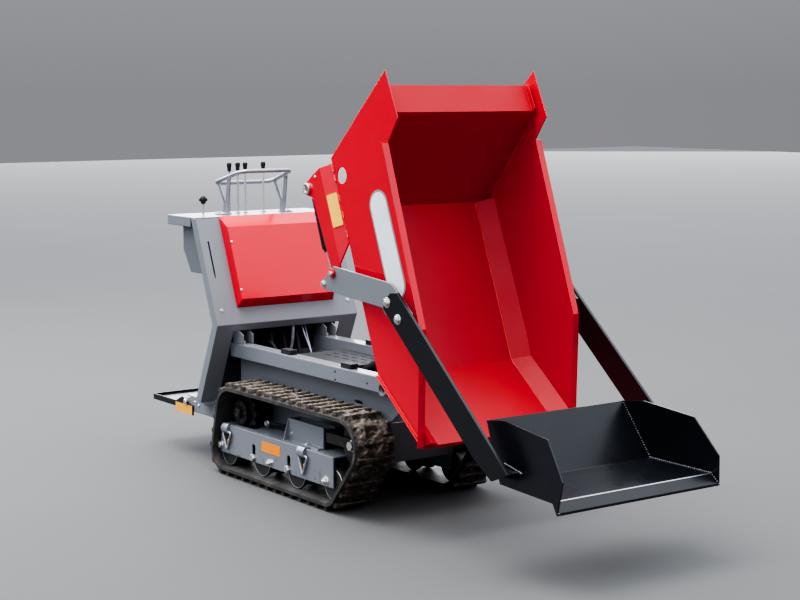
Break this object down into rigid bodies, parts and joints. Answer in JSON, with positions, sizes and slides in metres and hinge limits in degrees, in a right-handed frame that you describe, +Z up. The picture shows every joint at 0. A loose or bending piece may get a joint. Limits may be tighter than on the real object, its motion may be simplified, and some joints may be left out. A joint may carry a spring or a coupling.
{
  "type": "tracked site dumper",
  "caption": "Walk-behind tracked site dumper with a tipping skip, a self-loading front shovel on two arms, an upright control console and a folding rear step.",
  "frame": {"origin": "on the ground under the middle of the machine's box as stored, skip tipped", "axes": "+X forward towards the shovel, +Y to the machine's left, +Z up"},
  "size_m": [2.9006, 0.824, 1.6852],
  "materials": {
    "red_paint": "glossy powder coat",
    "grey_paint": "satin powder coat",
    "black_paint": "satin paint",
    "track_rubber": "matt with dried mud",
    "pad_rubber": "matt",
    "bare_steel": "zinc plated",
    "chromed_rod": "polished",
    "lever_plastic": "matt",
    "engine_block": "matt"
  },
  "bodies": {
    "chassis": {"track_left": "track_rubber", "track_right": "track_rubber", "track_frames": "grey_paint", "track_rollers": "black_paint", "drive_sprockets": "black_paint", "front_idlers": "black_paint", "idler_forks": "grey_paint", "chassis_rails": "grey_paint", "chassis_tub": "grey_paint", "cylinder_mount": "grey_paint", "tray": "grey_paint", "rubber_pads": "pad_rubber", "tip_pins": "bare_steel", "console_panel": "grey_paint", "console_side_panels": "grey_paint", "console_rear_panel": "grey_paint", "console_floor": "grey_paint", "console_top": "grey_paint", "hood": "red_paint", "console_ears": "grey_paint", "engine": "engine_block", "handrail": "grey_paint", "levers": "lever_plastic", "step_frame": "grey_paint", "hoses": "pad_rubber"},
    "skip": {"skip_side_left": "red_paint", "skip_side_right": "red_paint", "skip_floor": "red_paint", "skip_rear_wall": "red_paint", "skip_corner_strips": "red_paint", "skip_underframe": "red_paint", "arm_brackets": "red_paint"},
    "loader": {"arm_plates": "grey_paint", "arm_bars": "black_paint", "shovel": "black_paint", "shovel_gussets": "black_paint"},
    "step_platform": {"step": "black_paint"},
    "tip_barrel": {"tip_barrel": "black_paint"},
    "tip_rod": {"tip_rod": "chromed_rod"},
    "lift_barrel_left": {"lift_barrel_left": "black_paint"},
    "lift_rod_left": {"lift_rod_left": "chromed_rod"},
    "lift_barrel_right": {"lift_barrel_right": "black_paint"},
    "lift_rod_right": {"lift_rod_right": "chromed_rod"}
  },
  "joints": [
    {"name": "skip_tip", "type": "hinge", "parent": "chassis", "child": "skip", "pos_m": [0.28173, 0, 0.491], "axis": [0, 1, 0], "range_deg": [-68.7, 0]},
    {"name": "loader_lift", "type": "hinge", "parent": "skip", "child": "loader", "pos_m": [0.18327, 0, 0.93346], "axis": [0, 1, 0], "range_deg": [-40, 63.4]},
    {"name": "step_fold", "type": "hinge", "parent": "chassis", "child": "step_platform", "pos_m": [-1.13728, 0, 0.24], "axis": [0, 1, 0], "range_deg": [0, 85]},
    {"name": "tip_barrel_swing", "type": "hinge", "parent": "chassis", "child": "tip_barrel", "pos_m": [-0.39427, 0, 0.36], "axis": [0, 1, 0], "range_deg": [-0.5, 4]},
    {"name": "tip_rod_slide", "type": "slide", "parent": "tip_barrel", "child": "tip_rod", "axis": [0.9057, 0, 0.424], "range_m": [-0.212, 0.002]},
    {"name": "lift_barrel_swing_left", "type": "hinge", "parent": "skip", "child": "lift_barrel_left", "pos_m": [-0.01517, 0, 1.23873], "axis": [0, 1, 0], "range_deg": [-2.5, 2.5]},
    {"name": "lift_rod_slide_left", "type": "slide", "parent": "lift_barrel_left", "child": "lift_rod_left", "axis": [0.3533, 0, -0.9355], "range_m": [-0.082, 0.056]},
    {"name": "lift_barrel_swing_right", "type": "hinge", "parent": "skip", "child": "lift_barrel_right", "pos_m": [-0.01517, 0, 1.23873], "axis": [0, 1, 0], "range_deg": [-2.5, 2.5]},
    {"name": "lift_rod_slide_right", "type": "slide", "parent": "lift_barrel_right", "child": "lift_rod_right", "axis": [0.3533, 0, -0.9355], "range_m": [-0.082, 0.056]}
  ],
  "couplings": [
    {"joint": "tip_barrel_swing", "follows": "skip_tip", "ratio": -0.04813},
    {"joint": "tip_rod_slide", "follows": "skip_tip", "m_per_rad": 0.17295},
    {"joint": "lift_barrel_swing_left", "follows": "loader_lift", "ratio": -0.03},
    {"joint": "lift_rod_slide_left", "follows": "loader_lift", "m_per_rad": -0.071785},
    {"joint": "lift_barrel_swing_right", "follows": "loader_lift", "ratio": -0.03},
    {"joint": "lift_rod_slide_right", "follows": "loader_lift", "m_per_rad": -0.071785}
  ]
}
